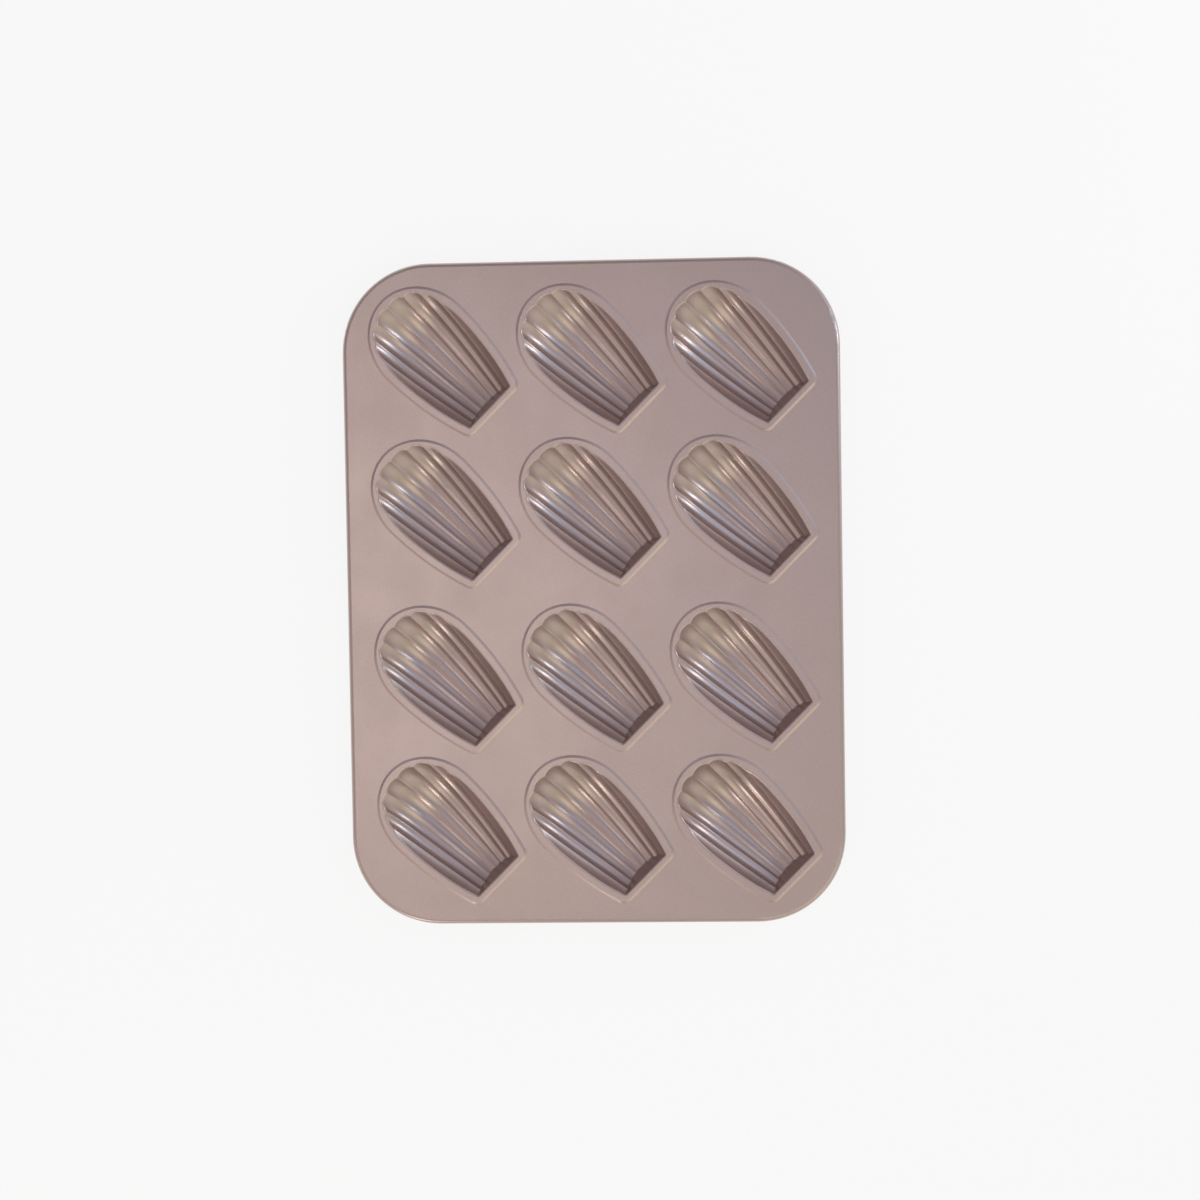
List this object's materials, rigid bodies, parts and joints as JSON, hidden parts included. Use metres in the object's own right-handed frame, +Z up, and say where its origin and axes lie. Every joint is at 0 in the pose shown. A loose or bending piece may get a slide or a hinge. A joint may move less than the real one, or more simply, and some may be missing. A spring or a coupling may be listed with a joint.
{
  "type": "madeleine pan",
  "caption": "Flat baking pan with rolled wire edge and fluted shell-shaped cups, turned at a slant, for small shell cakes.",
  "frame": {"origin": "centre of the pan's outline, at the height of the surface that the cups stand on", "axes": "+X across the pan's three columns, +Y along its four rows towards the shells' fan ends, +Z up out of the cups"},
  "size_m": [0.264, 0.353, 0.0161],
  "materials": {
    "coated_sheet": "satin metallic non-stick coat",
    "steel_wire": "drawn wire"
  },
  "bodies": {
    "root": {"deck_plate": "coated_sheet", "shell_cup_r1_c1": "coated_sheet", "shell_cup_r1_c2": "coated_sheet", "shell_cup_r1_c3": "coated_sheet", "shell_cup_r2_c1": "coated_sheet", "shell_cup_r2_c2": "coated_sheet", "shell_cup_r2_c3": "coated_sheet", "shell_cup_r3_c1": "coated_sheet", "shell_cup_r3_c2": "coated_sheet", "shell_cup_r3_c3": "coated_sheet", "shell_cup_r4_c1": "coated_sheet", "shell_cup_r4_c2": "coated_sheet", "shell_cup_r4_c3": "coated_sheet", "rim_wire": "steel_wire"}
  },
  "joints": []
}
